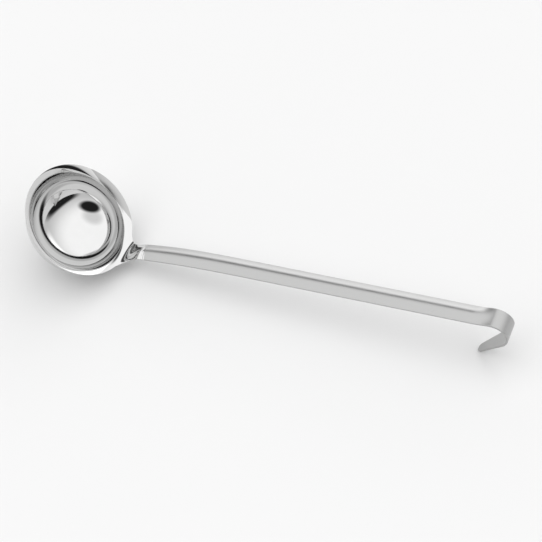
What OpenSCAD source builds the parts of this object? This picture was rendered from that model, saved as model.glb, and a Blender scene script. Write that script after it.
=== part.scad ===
// Soup ladle with a hooked strip handle: a drawn bowl with a flared lip and an integral neck,
// a ribbed strip handle bent back into a hanging hook, and the ground weld seam between them.
// It is modelled in the bowl's own frame (rim plane at z = 0, handle towards +x) and then laid
// down as it rests on a table: bowl bottom and hook tip on z = 0, handle towards +X, width along Y.

/* [Bowl] */
// Outside diameter of the rim
rim_d = 90; // [84:1:100]
// Depth from the rim plane to the outside of the bottom
bowl_depth = 36.5; // [34:0.5:42]
// Radial width of the flared lip
lip_w = 5.4; // [4.5:0.1:6.5]
// Height of the flared lip
lip_h = 2.9; // [2.4:0.1:3.6]
// Sheet thickness of bowl and handle
sheet_t = 1.5; // [1.2:0.1:2]

/* [Handle] */
// Width of the strip
strip_w = 16; // [14:0.5:18]
// How far the strip's edges lie behind the crown of its rib
rib_d = 2.5; // [1.8:0.1:3.2]
// Length along the strip from the weld to the start of the hook bend
strip_len = 279; // [240:1:320]
// Angle between the strip and the rim plane
rise = 43.9; // [40:0.1:46]
// Extra steepness where the strip leaves the neck, fading over the bow length
bow = 9.2; // [6:0.2:11]
// Length over which the bow fades
bow_len = 95; // [80:5:120]

/* [Hook] */
// Inside radius of the hook bend
hook_r = 11; // [9:0.5:13]
// Angle of the hook bend
hook_bend = 137; // [130:1:145]
// Length of the straight tongue, up to its tip
tongue_len = 30.7; // [28:0.1:36]
// Radius of the tongue's round tip
tip_r = 3.7; // [3:0.1:4.5]
// Width of the blunt end of the tip, which the ladle rests on when it lies down
tip_flat = 2.8; // [2.4:0.1:3.4]

/* [Hidden] */
$fn = 96;
rim_r = rim_d / 2;
wall_r = rim_r - lip_w;          // inside radius of the bowl at the root of the lip
root_z = -lip_h - 1;             // height at which the wall becomes vertical
in_b = bowl_depth - sheet_t + root_z; // inside half-axis of the bowl's depth below the root
neck_a = 22;                     // half-angle of rim that runs into the neck
weld_x = rim_r + 6.2;            // crown of the strip at the weld
weld_z = 17.2;
weld_hw = strip_w / 2 - 0.5;     // half-width at the weld
seam = 1.2;                      // width of the weld seam along the strip
flat_f = -1.3;                   // level of the flat strip before the hook, from the rib's crown
run_out = 15;                    // length over which the rib runs out into the flat strip
tuck = 0.15;                     // the neck starts this far inside the lip's sheet
tip_c = tongue_len - sqrt(tip_r * tip_r - tip_flat * tip_flat / 4); // centre of the tip's radius, along the tongue
joint_in = 0.02;                 // strip and tongue enter the bend this much thinner on each side
joint_l = 0.3;                   // and reach this far into it
e0 = rise + bow;                 // elevation at the weld

function bez(a, b, c, d, t) = a * pow(1 - t, 3) + 3 * b * t * pow(1 - t, 2) + 3 * c * t * t * (1 - t) + d * pow(t, 3);
function dbez(a, b, c, d, t) = 3 * (b - a) * pow(1 - t, 2) + 6 * (c - b) * t * (1 - t) + 3 * (d - c) * t * t;
function unit(v) = v / norm(v);
function smooth(t) = let (u = min(max(t, 0), 1)) u * u * (3 - 2 * u);
function mix(a, b, t) = a + (b - a) * t;

// ---- bowl meridian, inside surface: lip first, then the wall as a quarter ellipse ----
function lip(u) = bez([rim_r, 0], [rim_r - 0.45 * lip_w, -0.32 * lip_h], [wall_r, -0.95 * lip_h], [wall_r, root_z], u);
function lip_dir(u) = unit(dbez([rim_r, 0], [rim_r - 0.45 * lip_w, -0.32 * lip_h], [wall_r, -0.95 * lip_h], [wall_r, root_z], u));
function wall(a) = [wall_r * cos(a), root_z - in_b * sin(a)];
function wall_dir(a) = unit([-wall_r * sin(a), -in_b * cos(a)]);
function outward(d) = [-d.y, d.x]; // from the inside surface to the outside one
n_lip = 12;
n_wall = 26;
inner = [for (i = [0:n_lip]) lip(i / n_lip), for (i = [1:n_wall]) wall(90 * i / n_wall)];
outer_raw = [for (i = [0:n_lip]) lip(i / n_lip) + sheet_t * outward(lip_dir(i / n_lip)),
             for (i = [1:n_wall]) wall(90 * i / n_wall) + sheet_t * outward(wall_dir(90 * i / n_wall))];
outer = [for (p = outer_raw) [max(min(p.x, rim_r), 0), p.y]];
n_in = len(inner);

// ---- strip: crown line from the weld to the hook, in the side plane ----
function elev(s) = rise + bow * pow(max(1 - s / bow_len, 0), 2);
function crown_step(s, p, s1) = p + (s1 - s) * [cos(elev((s + s1) / 2)), sin(elev((s + s1) / 2))];
stations = [for (i = [0:24]) i * bow_len / 24, for (i = [0:16]) strip_len - run_out + i * run_out / 16, strip_len + joint_l];
crown = [for (i = 0, p = [weld_x, weld_z]; i < len(stations);
              i = i + 1, p = i < len(stations) ? crown_step(stations[i - 1], p, stations[i]) : p) p];
last = crown[len(crown) - 2]; // start of the bend

// rib section: f is measured from the crown towards the front of the strip, v runs -1 to 1 across it
rib_k = 2.2;
function rib(v) = (sqrt(1 + rib_k * rib_k * v * v) - 1) / (sqrt(1 + rib_k * rib_k) - 1);
function fill(s) = smooth((strip_len - s) / run_out);
function front_f(s, v) = mix(flat_f, -rib_d * rib(v), fill(s));
function half_w(s) = strip_w / 2 - (strip_w / 2 - weld_hw) * pow(max(1 - s / 40, 0), 2);
function slope_f(s, v) = (front_f(s, v + 0.01) - front_f(s, v - 0.01)) / (0.02 * half_w(s));
function place(i, w, f) = let (e = elev(stations[i])) [crown[i].x - sin(e) * f, w, crown[i].y + cos(e) * f];
n_v = 20;
function vs(j) = -1 + 2 * j / n_v;
function inset(i) = i > len(stations) - 3 ? joint_in : 0;
function strip_front(i, j) = place(i, (half_w(stations[i]) - inset(i)) * vs(j), front_f(stations[i], vs(j)) - inset(i));
function strip_back(i, j) =
    let (m = slope_f(stations[i], vs(j)), q = sqrt(1 + m * m))
    place(i, (half_w(stations[i]) - inset(i)) * vs(j) + sheet_t * 0.6 * m / q,
          front_f(stations[i], vs(j)) - sheet_t * (0.4 + 0.6 / q) + inset(i));

// ---- neck: each line runs from inside the lip to the weld section ----
function neck_a0(v) =
    let (a = neck_a * v, u = mix(0.32, 0.1, abs(v)), p = lip(u) + tuck * outward(lip_dir(u)))
    [p.x * cos(a), p.x * sin(a), p.y];
function weld_f(v) = -rib_d * rib(v);
function neck_b0(v) = [weld_x - sin(e0) * weld_f(v), weld_hw * v, weld_z + cos(e0) * weld_f(v)] - (seam / 2) * [cos(e0), 0, sin(e0)];
// first control point: on along the slope of the lip towards the corner of the neck, where the edges turn up sharply
function neck_c1(v) =
    let (p = neck_a0(v), x = rim_r + 2.6, y = 0.41 * strip_w * v)
    [x, y, p.z + 0.45 * (norm([x, y]) - norm([p.x, p.y])) - 1.8 * pow(abs(v), 3)];
function neck_c2n(v) = neck_b0(v) - mix(7.2, 9, abs(v)) * [cos(e0), 0, sin(e0)];
function neck_p(t, v) = bez(neck_a0(v), neck_c1(v), neck_c2n(v), neck_b0(v), t);
function neck_n(t, v) =
    unit(cross(dbez(neck_a0(v), neck_c1(v), neck_c2n(v), neck_b0(v), t), neck_p(t, min(v + 0.01, 1)) - neck_p(t, max(v - 0.01, -1))));
n_t = 20;
function neck_t(i) = i / n_t;
function neck_front(i, j) = neck_p(neck_t(i), vs(j));
function neck_back(i, j) =
    i == n_t
    ? let (m = slope_f(0, vs(j)), q = sqrt(1 + m * m), f = weld_f(vs(j)) - sheet_t * (0.4 + 0.6 / q), w = weld_hw * vs(j) + sheet_t * 0.6 * m / q)
      [weld_x - sin(e0) * f, w, weld_z + cos(e0) * f] - (seam / 2) * [cos(e0), 0, sin(e0)]
    : neck_p(neck_t(i), vs(j)) - (sheet_t - 2 * tuck * (1 - smooth(neck_t(i) * 4))) * neck_n(neck_t(i), vs(j));

// ---- laying it down: the tilt at which bowl and hook tip touch the same plane ----
function hook_end() =
    let (e = rise, c = last + [-sin(e), cos(e)] * (flat_f - sheet_t - hook_r), b = e + 90 - hook_bend)
    [for (k = [0:12]) c + (hook_r + sheet_t) * [cos(e + 90 - hook_bend * k / 12), sin(e + 90 - hook_bend * k / 12)],
     c + (hook_r + sheet_t) * [cos(b), sin(b)] + tongue_len * [sin(b), -cos(b)],
     c + hook_r * [cos(b), sin(b)] + tongue_len * [sin(b), -cos(b)]];
hook_pts = hook_end();
bowl_pts = concat(outer, [for (p = outer) [-p.x, p.y]], [for (p = inner) [-p.x, p.y]]);
function low(pts, tilt) = min([for (p = pts) -p.x * sin(tilt) + p.y * cos(tilt)]);
function settle(a, b, n) = let (m = (a + b) / 2) n == 0 ? m : low(bowl_pts, m) - low(hook_pts, m) < 0 ? settle(a, m, n - 1) : settle(m, b, n - 1);
// bowl lower than hook: the tilt must shrink the difference, so search between two tilts
tilt = settle(rise + 15, rise - 25, 50);
all_x = [for (p = concat(bowl_pts, hook_pts)) p.x * cos(tilt) + p.y * sin(tilt)];
mid_x = (min(all_x) + max(all_x)) / 2;
base_z = low(concat(bowl_pts, hook_pts), tilt);

module lay() {
    translate([-mid_x, 0, -base_z]) rotate([0, tilt, 0]) children();
}

// closed skin over a grid of front and back points: rows along, columns across
module skin(front, back, rows, cols) {
    c = cols + 1;
    n = (rows + 1) * c;
    pts = concat([for (i = [0:rows], j = [0:cols]) front[i][j]], [for (i = [0:rows], j = [0:cols]) back[i][j]]);
    f = [for (i = [0:rows - 1], j = [0:cols - 1])
            let (a = i * c + j) each [[a, a + c + 1, a + c], [a, a + 1, a + c + 1]]];
    b = [for (i = [0:rows - 1], j = [0:cols - 1])
            let (a = n + i * c + j) each [[a, a + c, a + c + 1], [a, a + c + 1, a + 1]]];
    s0 = [for (i = [0:rows - 1]) let (a = i * c) each [[a, n + a + c, n + a], [a, a + c, n + a + c]]];
    s1 = [for (i = [0:rows - 1]) let (a = i * c + cols) each [[a, n + a, n + a + c], [a, n + a + c, a + c]]];
    e0f = [for (j = [0:cols - 1]) each [[j, n + j + 1, j + 1], [j, n + j, n + j + 1]]];
    e1f = [for (j = [0:cols - 1]) let (a = rows * c + j) each [[a, a + 1, n + a + 1], [a, n + a + 1, n + a]]];
    polyhedron(points = pts, faces = concat(f, b, s0, s1, e0f, e1f), convexity = 6);
}

module bowl() {
    color([0.86, 0.87, 0.88]) lay() union() {
        rotate_extrude() polygon(concat(inner, [for (i = [0:n_in - 1]) outer[n_in - 1 - i]]));
        skin([for (i = [0:n_t]) [for (j = [0:n_v]) neck_front(i, j)]],
             [for (i = [0:n_t]) [for (j = [0:n_v]) neck_back(i, j)]], n_t, n_v);
    }
}

module neck_weld() {
    d = (seam / 2) * [cos(e0), 0, sin(e0)];
    f = [for (j = [0:n_v]) [weld_x - sin(e0) * weld_f(vs(j)), weld_hw * vs(j), weld_z + cos(e0) * weld_f(vs(j))]];
    b = [for (j = [0:n_v]) let (m = slope_f(0, vs(j)), q = sqrt(1 + m * m), g = weld_f(vs(j)) - sheet_t * (0.4 + 0.6 / q))
            [weld_x - sin(e0) * g, weld_hw * vs(j) + sheet_t * 0.6 * m / q, weld_z + cos(e0) * g]];
    color([0.72, 0.73, 0.74]) lay()
        skin([[for (p = f) p - d], [for (p = f) p + d]], [[for (p = b) p - d], [for (p = b) p + d]], 1, n_v);
}

module handle() {
    n = len(stations) - 1;
    e = rise;
    start = (seam / 2) * [cos(e0), 0, sin(e0)];
    color([0.8, 0.8, 0.81]) lay() union() {
        skin([for (i = [0:n]) [for (j = [0:n_v]) strip_front(i, j) + (i == 0 ? start : [0, 0, 0])]],
             [for (i = [0:n]) [for (j = [0:n_v]) strip_back(i, j) + (i == 0 ? start : [0, 0, 0])]], n, n_v);
        // hook bend and tongue
        multmatrix([[1, 0, 0, last.x - sin(e) * (flat_f - sheet_t - hook_r)],
                    [0, 0, -1, 0],
                    [0, 1, 0, last.y + cos(e) * (flat_f - sheet_t - hook_r)],
                    [0, 0, 0, 1]]) {
            rotate([0, 0, e + 90 - hook_bend]) {
                rotate_extrude(angle = hook_bend) translate([hook_r, -strip_w / 2]) square([sheet_t, strip_w]);
                translate([hook_r + joint_in, 0, 0]) rotate([90, 0, 90]) tongue();
            }
        }
    }
}

// tongue: drawn with its root at the origin, running towards -x, thickness along +z
module tongue() {
    tip_a = asin(tip_flat / 2 / tip_r);
    h0 = strip_w / 2 - joint_in;
    linear_extrude(height = sheet_t - 2 * joint_in)
        polygon(concat([[joint_l, -h0], [joint_l, h0]],
                       [for (k = [0:8]) let (a = 90 + k * (90 - tip_a) / 8) [-tip_c + tip_r * cos(a), tip_r * sin(a)]],
                       [for (k = [0:8]) let (a = 180 + tip_a + k * (90 - tip_a) / 8) [-tip_c + tip_r * cos(a), tip_r * sin(a)]]));
}

bowl();
neck_weld();
handle();
echo(tilt = tilt, mid_x = mid_x, base_z = base_z, last = last);
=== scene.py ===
# The soup ladle's looks, in metres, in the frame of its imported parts: smooth sheet-metal meshes of the bowl with its neck,
# the weld seam and the hooked strip handle, their steel finishes, and a pale floor under a soft studio light.
import math

import bmesh
import bpy
import numpy as np
from mathutils import Matrix, Vector


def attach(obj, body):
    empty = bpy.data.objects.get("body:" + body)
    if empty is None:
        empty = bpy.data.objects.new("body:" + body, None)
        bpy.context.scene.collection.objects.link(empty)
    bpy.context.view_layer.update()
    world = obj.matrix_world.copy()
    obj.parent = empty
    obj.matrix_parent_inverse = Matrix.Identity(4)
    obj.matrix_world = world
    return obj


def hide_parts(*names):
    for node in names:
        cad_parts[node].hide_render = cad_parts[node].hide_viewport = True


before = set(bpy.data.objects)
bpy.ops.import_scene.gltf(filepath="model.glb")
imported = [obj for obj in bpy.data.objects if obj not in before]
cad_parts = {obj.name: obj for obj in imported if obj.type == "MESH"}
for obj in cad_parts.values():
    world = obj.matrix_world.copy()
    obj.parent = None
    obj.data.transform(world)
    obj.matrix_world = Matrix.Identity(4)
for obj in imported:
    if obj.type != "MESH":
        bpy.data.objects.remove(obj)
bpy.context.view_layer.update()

# ---------------------------------------------------------------- shape, in mm in the bowl's own frame (rim plane z = 0)
RIM, DEPTH, LIPW, LIPH, T = 45.0, 36.5, 5.4, 2.9, 1.5
W, RIB, LEN, RISE, BOW, BOWL_LEN = 16.0, 2.5, 279.0, 43.9, 9.2, 95.0
HR, HB, TL, TR, TIP = 11.0, 137.0, 27.2751, 3.7, 2.8
WALL, ROOT = RIM - LIPW, -LIPH - 1
INB = DEPTH - T + ROOT
NECK_A, WX, WZ, WHW, SEAM = 22.0, RIM + 6.2, 17.2, W / 2 - 0.5, 1.2
FLAT, RUN, RK = -1.3, 15.0, 2.2
E0 = RISE + BOW
D = math.radians
TILT, MID, BASE = 39.797, 150.577, -39.3147


def bez(a, b, c, d, t):
    return a * (1 - t) ** 3 + 3 * b * t * (1 - t) ** 2 + 3 * c * t * t * (1 - t) + d * t ** 3


LA, LB, LC, LD = (np.array(p, float) for p in ((RIM, 0), (RIM - 0.45 * LIPW, -0.32 * LIPH), (WALL, -0.95 * LIPH), (WALL, ROOT)))


def lip(u):
    return bez(LA, LB, LC, LD, np.asarray(u, float)[..., None])


def lip_dir(u):
    u = np.asarray(u, float)[..., None]
    d = 3 * (LB - LA) * (1 - u) ** 2 + 6 * (LC - LB) * u * (1 - u) + 3 * (LD - LC) * u * u
    return d / np.linalg.norm(d, axis=-1, keepdims=True)


def to_row(p):
    """bowl frame in mm to row frame in metres"""
    c, s = math.cos(D(TILT)), math.sin(D(TILT))
    p = np.asarray(p, float)
    return np.stack([p[..., 0] * c + p[..., 2] * s - MID, p[..., 1], -p[..., 0] * s + p[..., 2] * c - BASE], -1) * 0.001


def unit(v):
    return v / np.maximum(np.linalg.norm(v, axis=-1, keepdims=True), 1e-12)


def smooth(t):
    t = np.clip(t, 0, 1)
    return t * t * (3 - 2 * t)


def rib(v):
    return (np.sqrt(1 + RK * RK * v * v) - 1) / (math.sqrt(1 + RK * RK) - 1)


def elev(s):
    return RISE + BOW * np.maximum(1 - s / BOWL_LEN, 0) ** 2


# crown line with the hook: arc of radius HR + T - FLAT about the hook's centre
S_BEND = (HR + T - FLAT) * D(HB)
DS = 0.05
_s = np.arange(0, LEN + S_BEND + TL + TR + 1, DS)


TIP_C = math.sqrt(TR ** 2 - TIP ** 2 / 4)
END, BULGE = LEN + S_BEND + TL + TIP_C, 0.04


def angle(s):
    a = elev(np.minimum(s, LEN))
    return a - np.clip((s - LEN) / S_BEND, 0, 1) * HB


_a = np.radians(angle(_s + DS / 2))
_x = WX + np.concatenate([[0], np.cumsum(np.cos(_a) * DS)[:-1]])
_z = WZ + np.concatenate([[0], np.cumsum(np.sin(_a) * DS)[:-1]])


def crown(s):
    return np.interp(s, _s, _x), np.interp(s, _s, _z)


def front_f(s, v):
    k = smooth((LEN - s) / RUN)
    return FLAT + (-RIB * rib(v) - FLAT) * k


def half_w(s):
    w = W / 2 - 0.5 * np.maximum(1 - s / 40, 0) ** 2
    r = s - LEN - S_BEND  # along the tongue
    # taper from the full width to the tip's circle
    t0 = TL
    w = np.where(r > 0, W / 2 + (TR - W / 2) * np.clip(r / t0, 0, 1), w)
    tip = np.sqrt(np.maximum(TR ** 2 - np.maximum(r - t0, 0) ** 2, 0))
    tip = np.minimum(tip, TIP / 2 * np.sqrt(np.maximum(END - s, 0) / BULGE))  # blunt end, a touch crowned
    return np.where(r > t0, tip, w)


def place(s, w, f):
    x, z = crown(s)
    a = np.radians(angle(s))
    return np.stack([x - np.sin(a) * f, w + 0 * s, z + np.cos(a) * f], -1)


def strip(s, v, back=False):
    s, v = np.broadcast_arrays(np.asarray(s, float), np.asarray(v, float))
    hw = half_w(s)
    f = front_f(s, v)
    w = hw * v
    if back:
        m = (front_f(s, v + 0.01) - front_f(s, v - 0.01)) / (0.02 * np.maximum(half_w(np.minimum(s, LEN)), 1))
        q = np.sqrt(1 + m * m)
        w = w + T * 0.6 * m / q
        f = f - T * (0.4 + 0.6 / q)
    return place(s, w, f)


def neck_u(v):
    return 0.32 * (1 - np.abs(v) ** 1.6)


def neck_lines(v, t):
    """front surface of the neck; v across, t along"""
    v, t = np.broadcast_arrays(np.asarray(v, float), np.asarray(t, float))
    a = np.radians(NECK_A * v)
    p2 = lip(neck_u(v))
    a0 = np.stack([p2[..., 0] * np.cos(a), p2[..., 0] * np.sin(a), p2[..., 1]], -1)
    x, y = RIM + 2.6 + 0 * v, 0.41 * W * v
    # the slope of the lip's surface here is worked out but not used; the fixed 0.45 in c1 makes the neck leave the lip
    # about tangentially
    d = lip_dir(neck_u(v))
    slope = -d[..., 1] / np.maximum(-d[..., 0], 0.05) * -1
    c1 = np.stack([x, y, a0[..., 2] + 0.45 * (np.hypot(x, y) - np.hypot(a0[..., 0], a0[..., 1])) - 1.8 * np.abs(v) ** 3], -1)
    f = -RIB * rib(v)
    e = D(E0)
    dirn = np.array([math.cos(e), 0, math.sin(e)])
    b0 = np.stack([WX - math.sin(e) * f, WHW * v, WZ + math.cos(e) * f], -1) - SEAM / 2 * dirn
    c2 = b0 - (7.2 + (9 - 7.2) * np.abs(v))[..., None] * dirn
    return bez(a0, c1, c2, b0, t[..., None])


class Mesh:
    def __init__(self):
        self.v, self.f, self.n = [], [], 0

    def grid(self, P, flip=False, closed=False):
        r, c = P.shape[:2]
        base = self.n
        self.v.append(P.reshape(-1, 3))
        self.n += r * c
        i, j = np.meshgrid(np.arange(r - 1), np.arange(c if closed else c - 1), indexing='ij')
        a = base + i * c + j
        b = base + i * c + (j + 1) % c
        q = np.stack([a, b, b + c, a + c], -1).reshape(-1, 4)
        self.f.append(q[:, ::-1] if flip else q)

    def get(self, tol=1e-4):
        v = np.concatenate(self.v)
        f = np.concatenate(self.f)
        key = np.round(v / tol).astype(np.int64)
        _, idx, inv = np.unique(key, axis=0, return_index=True, return_inverse=True)
        inv = inv.ravel()
        vv, ff = v[idx], inv[f]
        out = []
        for q in ff:
            p = [int(q[k]) for k in range(4) if q[k] != q[k - 1]]
            if len(p) > 2:
                out.append(p)
        for ring in getattr(self, 'caps', []):
            p = [int(inv[k]) for k in ring]
            p = [p[k] for k in range(len(p)) if p[k] != p[k - 1]]
            # the cap's ring goes in whole, as one face
            out.append(p)
        return vv, out


def cap(M, front, back, hi, lo):
    """closes an end: front and back run across from v=-1 to 1, hi and lo are the edge's rows at v=1 and v=-1, front first"""
    n, k = len(front), len(hi)
    ring = np.concatenate([front, hi[1:-1], back[::-1], lo[1:-1][::-1]])
    base = M.n
    M.v.append(ring)
    M.n += len(ring)
    M.caps = getattr(M, 'caps', []) + [list(range(base, base + len(ring)))]


def edge_rows(F, B, TF, TB, r=0.22):
    """rows of a rounded cut edge from the front edge F to the back edge B; TF, TB point inwards on the two surfaces"""
    d = unit(B - F)
    rows = []
    for t in (0, 0.25, 0.5, 0.75, 1):
        rows.append((1 - t) ** 2 * (F + r * TF) + 2 * t * (1 - t) * F + t * t * (F + r * d))
    for t in (0, 0.25, 0.5, 0.75, 1):
        rows.append((1 - t) ** 2 * (B - r * d) + 2 * t * (1 - t) * B + t * t * (B + r * TB))
    return np.stack(rows)


def inward(E, inner):
    """unit direction from an edge line into its surface, square to the edge"""
    t = np.gradient(E, axis=0)
    t = unit(t)
    d = inner - E
    d = d - (d * t).sum(-1, keepdims=True) * t
    return unit(d)


def bowl_mesh(n_round=150, n_neck=49, n_wall=64, n_lip=26, n_t=56, r=0.22):
    M = Mesh()
    th = np.concatenate([np.linspace(NECK_A, 360 - NECK_A, n_round)[:-1], np.linspace(360 - NECK_A, 360 + NECK_A, n_neck)[:-1]])
    vv = np.where(th >= 360 - NECK_A - 1e-9, (th - 360) / NECK_A, 9)
    vv[0] = 1.0
    n = len(th)
    # rows: pole to the lip's root, then the lip up to u1
    aw = np.radians(np.linspace(90, 0, n_wall))
    inner = np.stack([WALL * np.cos(aw), ROOT - INB * np.sin(aw)], -1)
    dw = unit(np.stack([-WALL * np.sin(aw), -INB * np.cos(aw)], -1))
    outer = inner + T * np.stack([-dw[:, 1], dw[:, 0]], -1)
    u1 = np.where(vv <= 1.5, neck_u(np.clip(vv, -1, 1)), 0.0)
    lu = 1 - (np.linspace(0, 1, n_lip)[1:, None]) * (1 - u1)[None, :]  # [row, col]
    Lp, Ld = lip(lu), lip_dir(lu)
    Lo = Lp + T * np.stack([-Ld[..., 1], Ld[..., 0]], -1)
    Lo[..., 0] = np.minimum(Lo[..., 0], RIM)
    prof_in = np.concatenate([np.repeat(inner[:, None], n, 1), Lp])
    prof_out = np.concatenate([np.repeat(outer[:, None], n, 1), Lo])
    a = np.radians(th)

    def rev(p):
        return np.stack([p[..., 0] * np.cos(a), p[..., 0] * np.sin(a), p[..., 1]], -1)
    Fr, Bk = rev(prof_in), rev(prof_out)
    # neck
    nv = np.linspace(-1, 1, n_neck)
    t = np.linspace(0, 1, n_t) ** 1.0
    N = neck_lines(nv[None, :], t[:, None])
    dv = np.gradient(N, axis=1)
    dt = np.gradient(N, axis=0)
    nn = unit(np.cross(dt, dv))
    # at the first row the lip's own normal
    u = neck_u(nv)
    d = lip_dir(u)
    o2 = np.stack([-d[:, 1], d[:, 0]], -1)
    an = np.radians(NECK_A * nv)
    n0 = -np.stack([o2[:, 0] * np.cos(an), o2[:, 0] * np.sin(an), o2[:, 1]], -1)
    s0 = np.sign((nn[n_t // 2, n_neck // 2] * [-1, 0, 0.3]).sum())
    nn = nn * s0
    k = smooth(t / 0.12)[:, None, None]
    nn = unit(n0[None] * (1 - k) + nn * k)
    # the last row as the strip's section has it
    m = (-RIB * rib(nv + 0.005) + RIB * rib(nv - 0.005)) / (0.01 * WHW)
    q = np.sqrt(1 + m * m)
    NB = N - T * nn
    e = D(E0)
    dirn = np.array([math.cos(e), 0, math.sin(e)])
    f = -RIB * rib(nv) - T * (0.4 + 0.6 / q)
    last = np.stack([WX - math.sin(e) * f, WHW * nv + T * 0.6 * m / q, WZ + math.cos(e) * f], -1) - SEAM / 2 * dirn
    kk = smooth((t - 0.8) / 0.2)[:, None, None]
    NB = NB * (1 - kk) + kk * (N + (last - N[-1])[None])
    # the back's first row lies on the bowl's outside, which is clamped to the rim's radius at the edge
    c0 = Bk[-1]
    cols = [int(np.argmin(np.abs((th - 360) / NECK_A - x))) if x < 1 - 1e-9 else 0 for x in nv]
    B0 = c0[cols]
    kk = (1 - smooth(t / 0.12))[:, None, None]
    NB = NB + kk * (B0 - NB[0])[None]
    # edge loop: rim the long way from +22 to -22, then up the v=-1 side; the v=+1 side comes down to the start
    rim_cols = list(range(0, n_round))  # theta NECK_A .. 360-NECK_A
    rimF, rimB = Fr[-1][rim_cols], Bk[-1][rim_cols]
    rimFi, rimBi = Fr[-3][rim_cols], Bk[-3][rim_cols]
    E = np.concatenate([N[::-1, -1], rimF[1:-1], N[:, 0]])
    EB = np.concatenate([NB[::-1, -1], rimB[1:-1], NB[:, 0]])
    Ei = np.concatenate([N[::-1, -3], rimFi[1:-1], N[:, 2]])
    EBi = np.concatenate([NB[::-1, -3], rimBi[1:-1], NB[:, 2]])
    TF, TB = inward(E, Ei), inward(EB, EBi)
    rows = edge_rows(E, EB, TF, TB, r)
    # pull the surfaces' own edges in to where the rounding starts
    nt = n_t
    N2, NB2, Fr2, Bk2 = N.copy(), NB.copy(), Fr.copy(), Bk.copy()
    N2[::-1, -1] = rows[0][:nt]; N2[:, 0] = rows[0][-nt:]
    NB2[::-1, -1] = rows[-1][:nt]; NB2[:, 0] = rows[-1][-nt:]
    Fr2[-1][rim_cols] = np.concatenate([[rows[0][nt - 1]], rows[0][nt:-nt], [rows[0][-nt]]])
    Bk2[-1][rim_cols] = np.concatenate([[rows[-1][nt - 1]], rows[-1][nt:-nt], [rows[-1][-nt]]])
    M.grid(Fr2, closed=True)
    M.grid(Bk2, flip=True, closed=True)
    M.grid(N2)
    M.grid(NB2, flip=True)
    M.grid(rows, flip=True)
    # cap at the weld, with the ends of the rounded edges
    cap(M, N2[-1], NB2[-1], rows[:, 0], rows[:, -1])
    return M


def seam_mesh(n=49, raise_=0.035):
    M = Mesh()
    v = np.linspace(-1, 1, n)
    m = (-RIB * rib(v + 0.005) + RIB * rib(v - 0.005)) / (0.01 * WHW)
    q = np.sqrt(1 + m * m)
    e = D(E0)
    up = np.array([-math.sin(e), 0, math.cos(e)])
    along = np.array([math.cos(e), 0, math.sin(e)])
    base = np.array([WX, 0, WZ])

    def sec(w, f):
        return base + np.stack([0 * w, w, 0 * w], -1) + f[:, None] * up
    F = sec(WHW * v, -RIB * rib(v))
    B = sec(WHW * v + T * 0.6 * m / q, -RIB * rib(v) - T * (0.4 + 0.6 / q))
    loop = np.concatenate([F, B[::-1]])
    # swell the loop along its own outward normal, most at the middle of the bead and a touch shrunk at its two ends
    nF = unit(np.stack([0 * m, -m, 0 * m + 1], -1))  # (.., w, f)
    nrm = np.stack([0 * m, nF[:, 1], nF[:, 2]], -1)
    out = nrm[:, 1:2] * np.array([0, 1, 0]) + nrm[:, 2:3] * up
    outl = np.concatenate([out, -out[::-1]])
    rows = []
    for k in np.linspace(-1, 1, 9):
        swell = raise_ * (1 - k * k) - 0.012
        rows.append(loop + outl * swell + along * (k * (SEAM / 2 + 0.02)))
    M.grid(np.stack(rows), closed=True)
    M.grid(np.stack([rows[0][:n], rows[0][n:][::-1]]), flip=True)
    M.grid(np.stack([rows[-1][:n], rows[-1][n:][::-1]]))
    return M


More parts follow.
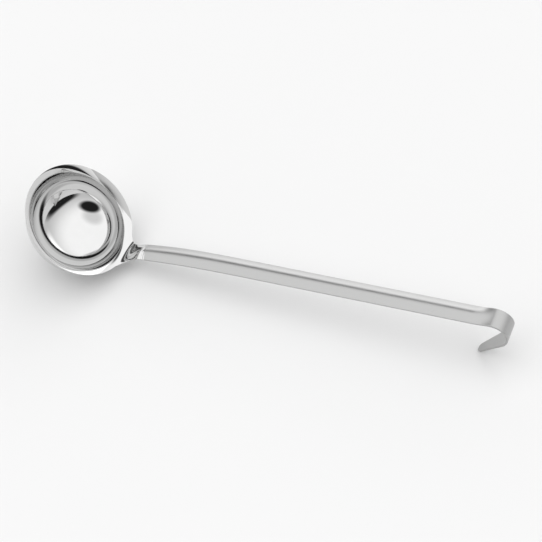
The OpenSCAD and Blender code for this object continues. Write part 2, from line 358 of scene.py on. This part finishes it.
def handle_mesh(nv=41, r=0.22):
    M = Mesh()
    L1 = LEN + S_BEND
    phi = np.linspace(0, math.pi / 2, 22)[1:]
    e = D(E0)
    s = np.concatenate([np.linspace(0, 95, 120)[:-1], np.linspace(95, LEN - RUN, 110)[:-1], np.linspace(LEN - RUN, LEN, 40)[:-1],
                        np.linspace(LEN, L1, 90)[:-1], np.linspace(L1, L1 + TL, 40), L1 + TL + TIP_C * np.sin(phi[:-1]) ** 1.0 * 0.985,
                        END - BULGE * np.linspace(1.1, 0, 12) ** 2])
    v = np.linspace(-1, 1, nv)
    P = strip(s[:, None], v[None, :])
    Q = strip(s[:, None], v[None, :], back=True)
    start = SEAM / 2 * np.array([math.cos(e), 0, math.sin(e)])
    k = np.maximum(1 - s / 3.0, 0)[:, None, None]
    P, Q = P + k * start, Q + k * start
    ns = len(s)
    E = np.concatenate([P[:, -1], P[::-1, 0][1:]])
    EB = np.concatenate([Q[:, -1], Q[::-1, 0][1:]])
    # points well inside for the inward direction
    mid = P[:, nv // 2]; midb = Q[:, nv // 2]
    tip = ns - 1
    inP = np.concatenate([P[:, -4], P[::-1, 3][1:]])
    inQ = np.concatenate([Q[:, -4], Q[::-1, 3][1:]])
    c_in, c_inb = P[np.searchsorted(s, L1 + TL), nv // 2], Q[np.searchsorted(s, L1 + TL), nv // 2]
    for i in range(ns):
        if s[i] > L1 + TL - 1e-6:
            for arr, c in ((inP, c_in), (inQ, c_inb)):
                arr[i] = c
                arr[2 * ns - 2 - i] = c
    TF, TB = inward(E, inP), inward(EB, inQ)
    rows = edge_rows(E, EB, TF, TB, r)
    P2, Q2 = P.copy(), Q.copy()
    # rescale every row so that its ends sit where the rounding starts
    for src, dst, row in ((P, P2, rows[0]), (Q, Q2, rows[-1])):
        a, b = row[:ns], np.concatenate([row[ns - 1:ns], row[ns:]])[::-1]
        b = np.concatenate([row[ns:][::-1], row[ns - 1:ns]])
        lam = ((v + 1) / 2)[None, :, None]
        shift_hi, shift_lo = a - src[:, -1], b - src[:, 0]
        w = np.abs(v)[None, :, None] ** 3
        tipw = smooth((s - (L1 + TL)) / TR)[:, None, None]
        w = w * (1 - tipw) + tipw * 1.0
        dst += np.where(lam >= 0.5, w, 0) * shift_hi[:, None] + np.where(lam < 0.5, w, 0) * shift_lo[:, None]
        dst[:, -1], dst[:, 0] = a, b
        dst[-1, :] = row[ns - 1]
    M.grid(P2)
    M.grid(Q2, flip=True)
    M.grid(rows, flip=True)
    cap(M, P2[0], Q2[0], rows[:, 0], rows[:, -1])
    return M


# ---------------------------------------------------------------- pieces
def brush_coordinates(v):
    """for each vertex in metres: length along the strip's crown line, across it, and the radius from the bowl's axis, in mm"""
    c, s = math.cos(D(TILT)), math.sin(D(TILT))
    q = v * 1000 + [MID, 0, BASE]
    bx, by, bz = q[:, 0] * c - q[:, 2] * s, q[:, 1], q[:, 0] * s + q[:, 2] * c
    k = slice(None, None, 10)
    cx, cz, cs = _x[k], _z[k], _s[k]
    i = np.concatenate([np.argmin((bx[n:n + 4000, None] - cx) ** 2 + (bz[n:n + 4000, None] - cz) ** 2, axis=1)
                        for n in range(0, len(bx), 4000)])
    a = np.radians(angle(cs[i]))
    along = cs[i] + (bx - cx[i]) * np.cos(a) + (bz - cz[i]) * np.sin(a)
    return np.stack([along, by, np.hypot(bx, by)], -1), np.stack([bx, by, bz], -1)


def piece(name, node, builder):
    v, f = builder().get()
    v = to_row(v)
    me = bpy.data.meshes.new(name)
    me.from_pydata([tuple(p) for p in v], [], f)
    bm = bmesh.new()
    bm.from_mesh(me)
    bmesh.ops.recalc_face_normals(bm, faces=bm.faces)
    bm.to_mesh(me)
    bm.free()
    me.polygons.foreach_set("use_smooth", [len(p.vertices) < 6 for p in me.polygons])
    co = np.zeros(len(me.vertices) * 3)
    me.vertices.foreach_get("co", co)
    strip_co, bowl_co = brush_coordinates(co.reshape(-1, 3))
    for key, arr in (("strip_mm", strip_co), ("bowl_mm", bowl_co)):
        at = me.attributes.new(key, "FLOAT_VECTOR", "POINT")
        at.data.foreach_set("vector", arr.astype(np.float32).ravel())
    me.update()
    o = bpy.data.objects.new(name, me)
    bpy.context.scene.collection.objects.link(o)
    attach(o, "root")
    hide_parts(node)
    return o


bowl = piece("bowl_shell", "bowl", bowl_mesh)
seam = piece("weld_bead", "neck_weld", seam_mesh)
handle = piece("handle_strip", "handle", handle_mesh)


# ---------------------------------------------------------------- node helpers
class Nodes:
    def __init__(self, tree):
        self.t, self.n = tree, 0

    def add(self, kind, ins=(), out=0, **props):
        node = self.t.nodes.new(kind)
        node.location = (180 * (self.n % 12), -160 * (self.n // 12))
        self.n += 1
        for k, x in props.items():
            setattr(node, k, x)
        for k, x in (ins.items() if isinstance(ins, dict) else enumerate(ins)):
            if x is None:
                continue
            if isinstance(x, bpy.types.NodeSocket):
                self.t.links.new(x, node.inputs[k])
            else:
                node.inputs[k].default_value = x
        return node.outputs[out]

    def math(self, op, *ins, clamp=False):
        return self.add("ShaderNodeMath", ins, operation=op, use_clamp=clamp)

    def ramp(self, x, a, b, lo=0.0, hi=1.0, kind="SMOOTHSTEP"):
        return self.add("ShaderNodeMapRange", {"Value": x, "From Min": a, "From Max": b, "To Min": lo, "To Max": hi}, interpolation_type=kind)

    def dot(self, v, axis):
        node = self.t.nodes.new("ShaderNodeVectorMath")
        node.operation = "DOT_PRODUCT"
        self.t.links.new(v, node.inputs[0])
        node.inputs[1].default_value = axis
        return node.outputs["Value"]

    def scale(self, v, s):
        return self.add("ShaderNodeVectorMath", (v, s), operation="MULTIPLY")

    def noise(self, v, scale, detail=4.0, rough=0.5, distortion=0.0):
        return self.add("ShaderNodeTexNoise", {"Vector": v, "Scale": scale, "Detail": detail, "Roughness": rough, "Distortion": distortion})

    def mix(self, f, a, b):
        """number: a where f is 0, b where f is 1"""
        return self.add("ShaderNodeMix", {0: f, 2: a, 3: b}, data_type="FLOAT")

    def colour(self, f, a, b):
        node = self.t.nodes.new("ShaderNodeMix")
        node.data_type = "RGBA"
        for k, x in ((0, f), (6, a), (7, b)):
            if isinstance(x, bpy.types.NodeSocket):
                self.t.links.new(x, node.inputs[k])
            else:
                node.inputs[k].default_value = x
        return node.outputs[2]


def attribute(N, name):
    return N.add("ShaderNodeAttribute", out=1, attribute_name=name)


def axes(N, v):
    node = N.t.nodes.new("ShaderNodeSeparateXYZ")
    N.t.links.new(v, node.inputs[0])
    return node.outputs


def steel(name, part):
    mat = bpy.data.materials.new(name)
    mat.use_nodes = True
    t = mat.node_tree
    t.nodes.clear()
    N = Nodes(t)
    out = t.nodes.new("ShaderNodeOutputMaterial")
    bsdf = t.nodes.new("ShaderNodeBsdfPrincipled")
    t.links.new(bsdf.outputs[0], out.inputs[0])
    bsdf.inputs["Metallic"].default_value = 1.0
    strip_v, bowl_v = attribute(N, "strip_mm"), attribute(N, "bowl_mm")
    s, y, radius = axes(N, strip_v)
    bx, by, bz = axes(N, bowl_v)
    # the border between mirror polish and satin runs skewed over the weld: satin is 1 beyond it
    edge = N.math("ADD", N.math("MULTIPLY", y, -0.3716), N.math("MULTIPLY", N.math("MULTIPLY", y, y), -0.0192))
    wander = N.math("MULTIPLY", N.math("SUBTRACT", N.noise(bowl_v, 0.9, 3.0), 0.5), 0.9)
    past = N.math("SUBTRACT", N.math("SUBTRACT", N.math("ADD", s, -0.5), edge), wander)
    satin = N.ramp(past, -0.45, 0.45)
    # fine brushing along the strip: streaks much longer than wide
    streak = N.noise(N.scale(strip_v, (0.012, 1.0, 0.0)), 9.0, 6.0, 0.62)
    fine = N.noise(N.scale(strip_v, (0.03, 1.0, 0.0)), 34.0, 4.0, 0.6)
    cloud = N.noise(bowl_v, 0.06, 3.0, 0.5)
    grain = N.math("ADD", N.math("MULTIPLY", streak, 0.6), N.math("MULTIPLY", fine, 0.4))
    satin_rough = N.math("ADD", SATIN_ROUGH, N.math("ADD", N.math("MULTIPLY", N.math("SUBTRACT", grain, 0.5), 0.16),
                                                    N.math("MULTIPLY", N.math("SUBTRACT", cloud, 0.5), 0.08)))
    # mirror: turned finish, softer in the bottom of the bowl, with faint rings round the axis and a faint broad mottle
    ring = N.noise(N.scale(strip_v, (0.0, 0.0, 1.0)), 3.2, 5.0, 0.6)
    mist = N.noise(bowl_v, 0.11, 4.0, 0.55)
    inside = N.ramp(radius, SOFT_OUT, SOFT_IN)
    low = N.ramp(bz, -4.0, -9.0)
    soft = N.math("MULTIPLY", inside, low)
    mirror_rough = N.math("ADD", N.mix(soft, MIRROR_ROUGH, SOFT_ROUGH), N.math("MULTIPLY", N.math("SUBTRACT", mist, 0.5), N.mix(soft, 0.02, 0.04)))
    rough = N.mix(satin, mirror_rough, satin_rough)
    if part == "seam":
        grind = N.noise(N.scale(bowl_v, (1.0, 0.25, 1.0)), 6.0, 5.0, 0.65)
        rough = N.math("ADD", N.mix(satin, 0.12, 0.34), N.math("MULTIPLY", N.math("SUBTRACT", grind, 0.5), 0.2))
    t.links.new(N.math("MAXIMUM", rough, 0.02), bsdf.inputs["Roughness"])
    # colour: neutral steel, a touch warmer and darker in the streaks
    tone = N.mix(satin, mist, N.math("ADD", N.math("MULTIPLY", grain, 0.75), N.math("MULTIPLY", cloud, 0.25)))
    mirror_col = N.colour(tone, (MIRROR * 0.97, MIRROR * 0.97, MIRROR * 0.965, 1), (MIRROR * 1.03, MIRROR * 1.03, MIRROR * 1.03, 1))
    satin_col = N.colour(tone, (SATIN * 0.93, SATIN * 0.93, SATIN * 0.925, 1), (SATIN * 1.07, SATIN * 1.07, SATIN * 1.065, 1))
    t.links.new(N.colour(satin, mirror_col, satin_col), bsdf.inputs["Base Color"])
    # relief
    b1 = t.nodes.new("ShaderNodeBump")
    b1.inputs["Distance"].default_value = 0.000006
    b1.inputs["Strength"].default_value = 1.0
    height = N.mix(satin, N.math("ADD", N.math("MULTIPLY", ring, 0.1), N.math("MULTIPLY", mist, 0.5)), N.math("MULTIPLY", grain, 0.9))
    if part == "seam":
        height = N.math("ADD", height, N.math("MULTIPLY", grind, 1.5))
    t.links.new(height, b1.inputs["Height"])
    t.links.new(b1.outputs[0], bsdf.inputs["Normal"])
    return mat


MIRROR, SATIN = 0.64, 0.43
MIRROR_ROUGH, SOFT_ROUGH, SATIN_ROUGH = 0.025, 0.05, 0.30
SOFT_OUT, SOFT_IN = 31.0, 24.0

bowl.data.materials.append(steel("steel_mirror", "bowl"))
seam.data.materials.append(steel("steel_ground", "seam"))
handle.data.materials.append(steel("steel_satin", "handle"))

# ---------------------------------------------------------------- floor
fm = bpy.data.meshes.new("floor")
fm.from_pydata([(-9, -9, 0), (9, -9, 0), (9, 9, 0), (-9, 9, 0)], [], [(0, 1, 2, 3)])
floor = bpy.data.objects.new("floor", fm)
floor.location.z = -0.0001
bpy.context.scene.collection.objects.link(floor)
mat = bpy.data.materials.new("floor_paper")
mat.use_nodes = True
t = mat.node_tree
t.nodes.clear()
N = Nodes(t)
out = t.nodes.new("ShaderNodeOutputMaterial")
bsdf = t.nodes.new("ShaderNodeBsdfPrincipled")
t.links.new(bsdf.outputs[0], out.inputs[0])
paper = N.noise(N.add("ShaderNodeTexCoord", out=3), 1.2, 3.0)
t.links.new(N.colour(paper, (0.80, 0.80, 0.80, 1), (0.825, 0.825, 0.825, 1)), bsdf.inputs["Base Color"])
t.links.new(N.ramp(paper, 0.0, 1.0, 0.65, 0.8), bsdf.inputs["Roughness"])
bsdf.inputs["Specular IOR Level"].default_value = 0.2
fm.materials.append(mat)

# ---------------------------------------------------------------- studio light, all of it in the world, by direction
# each patch: azimuth and elevation of its middle in degrees, half-width and half-height in degrees, turn, softness 0-1, level
BASE_TOP, BASE_SIDE, BASE_LOW = 1.4, 0.78, 0.72
PATCHES = [
    (92, 17, 40, 11, 0, 0.7, 2.1),
    (-78, 54, 22, 15, 0, 0.9, 0.95),
    (-72, 33, 24, 13, 0, 0.5, 0.02),
    (-14, 3, 38, 11, 0, 0.5, 0.02),
    (131, 42, 22, 10, 0, 0.7, 0.08),
]

world = bpy.data.worlds.new("studio")
bpy.context.scene.world = world
world.use_nodes = True
t = world.node_tree
t.nodes.clear()
N = Nodes(t)
out = t.nodes.new("ShaderNodeOutputWorld")
bg = t.nodes.new("ShaderNodeBackground")
t.links.new(bg.outputs[0], out.inputs[0])
way = N.add("ShaderNodeTexCoord", out=0)
up = N.dot(way, (0, 0, 1))
level = N.mix(N.ramp(up, 0.1, 0.75), BASE_SIDE, BASE_TOP)
for az, el, hw, hh, turn, softness, value in PATCHES:
    a, e, r = math.radians(az), math.radians(el), math.radians(turn)
    c = Vector((math.cos(e) * math.cos(a), math.cos(e) * math.sin(a), math.sin(e)))
    side = Vector((-math.sin(a), math.cos(a), 0))
    rise = c.cross(side) * -1 if c.cross(side).z < 0 else c.cross(side)
    t1 = side * math.cos(r) + rise * math.sin(r)
    t2 = rise * math.cos(r) - side * math.sin(r)
    p = N.math("DIVIDE", N.dot(way, t1), math.sin(math.radians(hw)))
    q = N.math("DIVIDE", N.dot(way, t2), math.sin(math.radians(hh)))
    d = N.math("ADD", N.math("MULTIPLY", p, p), N.math("MULTIPLY", q, q))
    front = N.ramp(N.dot(way, c), 0.0, 0.05)
    f = N.math("MULTIPLY", N.ramp(d, 1 + softness, max(1 - softness, 0.0)), front)
    level = N.mix(f, level, value)
level = N.mix(N.ramp(up, 0.0, -0.08), level, BASE_LOW)
level = N.mix(N.add("ShaderNodeLightPath", out=0), level, 0.95)
grey = N.add("ShaderNodeCombineColor", (level, level, level))
t.links.new(grey, bg.inputs["Color"])
bg.inputs["Strength"].default_value = 1.0

# ---------------------------------------------------------------- camera
cam = bpy.data.objects.new("camera", bpy.data.cameras.new("camera"))
bpy.context.scene.collection.objects.link(cam)
right, up_v, back = (0.9272717, 0.3604477, -0.1012157), (-0.2287207, 0.7594255, 0.6090646), (0.2964018, -0.5416183, 0.7866357)
place_ = (0.4511143, -0.8137993, 1.2151040)
cam.matrix_world = Matrix([[right[i], up_v[i], back[i], place_[i]] for i in range(3)] + [[0, 0, 0, 1]])
cam.data.sensor_width = 36.0
cam.data.lens = 134.594
cam.data.clip_start, cam.data.clip_end = 0.05, 60.0
bpy.context.scene.camera = cam
view = bpy.context.scene.view_settings
view.view_transform, view.look, view.exposure, view.gamma = "Standard", "None", 0.0, 1.0
